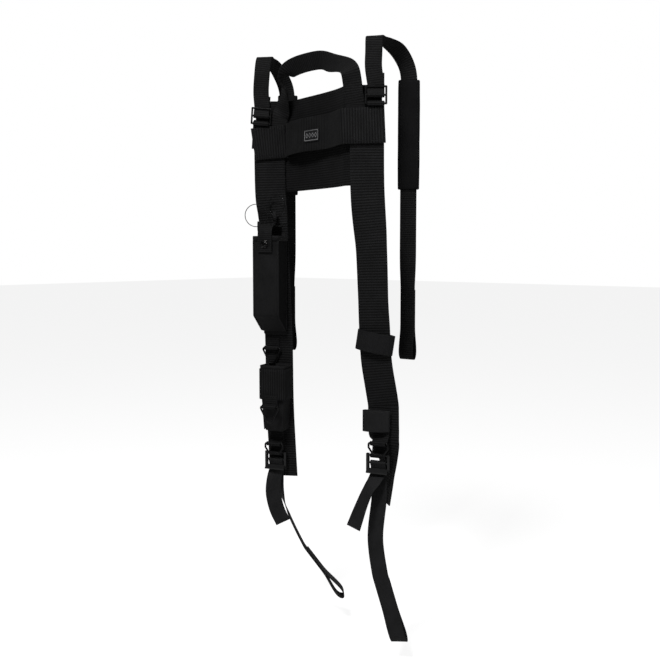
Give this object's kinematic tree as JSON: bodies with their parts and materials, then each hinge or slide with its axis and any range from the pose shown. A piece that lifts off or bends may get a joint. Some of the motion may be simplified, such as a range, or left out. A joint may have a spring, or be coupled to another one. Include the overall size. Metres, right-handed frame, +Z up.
{
  "type": "tool belt harness",
  "caption": "Black webbing harness for carrying a tool belt: wide front straps, chest panel, adjustable shoulder straps with pads, radio pouch, tool sheath, rings and belt loops.",
  "frame": {"origin": "midway between the undersides of the two shoulder folds, on the rail or pair of shoulders that the harness hangs from", "axes": "+Z up, the wearer's front faces -Y, +X to the wearer's left"},
  "size_m": [0.2953, 0.1343, 0.902],
  "materials": {
    "wide_webbing": "ribbed nylon webbing, matt black",
    "narrow_webbing": "ribbed nylon webbing, matt black",
    "smooth_webbing": "smooth flat webbing, satin black",
    "panel_cloth": "fine ribbed cloth, matt black",
    "pad_cloth": "foam sleeve in soft cloth, matt black",
    "pouch_cloth": "coated nylon pack cloth, matt black",
    "binding_tape": "thin grosgrain tape, black",
    "elastic": "woven elastic, matt black",
    "label": "woven patch with a plain grey pattern",
    "black_steel": "black coated steel",
    "ring_steel": "nickel plated spring wire",
    "snap_metal": "black lacquered snap with worn edges",
    "lock_plastic": "moulded acetal, semi-gloss"
  },
  "bodies": {
    "harness": {"right_front_strap": "wide_webbing", "left_front_strap": "wide_webbing", "chest_panel": "panel_cloth", "chest_band": "wide_webbing", "woven_label": "label", "right_slider": "black_steel", "left_slider": "black_steel", "right_slider_tab": "narrow_webbing", "left_slider_tab": "narrow_webbing", "right_shoulder_strap": "narrow_webbing", "left_shoulder_strap": "narrow_webbing", "radio_pouch_back": "pouch_cloth", "radio_pouch_body": "pouch_cloth", "pouch_binding": "binding_tape", "closure_strap_base": "narrow_webbing", "snap_stud": "snap_metal", "key_ring_tabs": "binding_tape", "upper_v_ring_tab": "narrow_webbing", "tool_sheath": "pouch_cloth", "sheath_band": "wide_webbing", "lower_v_ring_tab": "narrow_webbing", "right_d_ring_tab": "narrow_webbing", "right_lock_tab": "narrow_webbing", "left_d_ring_tab": "narrow_webbing", "left_lock_tab": "narrow_webbing", "elastic_keeper": "elastic", "pen_loop": "smooth_webbing", "carry_loop": "narrow_webbing"},
    "right_pad": {"right_shoulder_pad": "pad_cloth"},
    "left_pad": {"left_shoulder_pad": "pad_cloth"},
    "closure": {"pouch_closure_strap": "narrow_webbing", "snap_cap": "snap_metal"},
    "key_ring": {"key_ring": "ring_steel"},
    "second_key_ring": {"second_key_ring": "ring_steel"},
    "upper_v_ring": {"upper_v_ring": "black_steel"},
    "lower_v_ring": {"lower_v_ring": "black_steel"},
    "right_d_ring": {"right_d_ring": "black_steel"},
    "left_d_ring": {"left_d_ring": "black_steel"},
    "right_tail": {"right_ladder_lock": "lock_plastic", "right_tail_strap": "smooth_webbing"},
    "left_tail": {"left_ladder_lock": "lock_plastic", "left_tail_strap": "smooth_webbing"}
  },
  "joints": [
    {"name": "right_pad_slide", "type": "slide", "parent": "harness", "child": "right_pad", "axis": [0, 0, 1], "range_m": [-0.075, 0]},
    {"name": "left_pad_slide", "type": "slide", "parent": "harness", "child": "left_pad", "axis": [0, 0, 1], "range_m": [-0.075, 0]},
    {"name": "pouch_closure", "type": "hinge", "parent": "harness", "child": "closure", "pos_m": [-0.0902, -0.01384, -0.271], "axis": [-0.9455, -0.3256, 0], "range_deg": [0, 110]},
    {"name": "key_ring_swing", "type": "hinge", "parent": "harness", "child": "key_ring", "pos_m": [-0.11243, -0.01155, -0.2745], "axis": [0.7324, 0.6364, 0.2421], "range_deg": [0, 45]},
    {"name": "second_key_ring_swing", "type": "hinge", "parent": "harness", "child": "second_key_ring", "pos_m": [-0.09154, 0.0033, -0.2585], "axis": [0.9538, 0.017, -0.2999], "range_deg": [0, 30]},
    {"name": "upper_v_ring_swing", "type": "hinge", "parent": "harness", "child": "upper_v_ring", "pos_m": [-0.10203, 0.0053, -0.472], "axis": [-0.9455, -0.3256, 0], "range_deg": [0, 140]},
    {"name": "lower_v_ring_swing", "type": "hinge", "parent": "harness", "child": "lower_v_ring", "pos_m": [-0.0785, -0.02462, -0.563], "axis": [-0.9455, -0.3256, 0], "range_deg": [0, 140]},
    {"name": "right_d_ring_swing", "type": "hinge", "parent": "harness", "child": "right_d_ring", "pos_m": [-0.08997, -0.00286, -0.628], "axis": [-0.9455, -0.3256, 0], "range_deg": [0, 140]},
    {"name": "left_d_ring_swing", "type": "hinge", "parent": "harness", "child": "left_d_ring", "pos_m": [0.12856, -0.00602, -0.597], "axis": [-0.9659, -0.2588, 0], "range_deg": [0, 140]},
    {"name": "right_tail_swing", "type": "hinge", "parent": "harness", "child": "right_tail", "pos_m": [-0.09258, 0.0047, -0.645], "axis": [-0.9455, -0.3256, 0], "range_deg": [0, 40]},
    {"name": "left_tail_swing", "type": "hinge", "parent": "harness", "child": "left_tail", "pos_m": [0.12359, 0.00093, -0.617], "axis": [-0.9659, -0.2588, 0], "range_deg": [0, 40]}
  ]
}
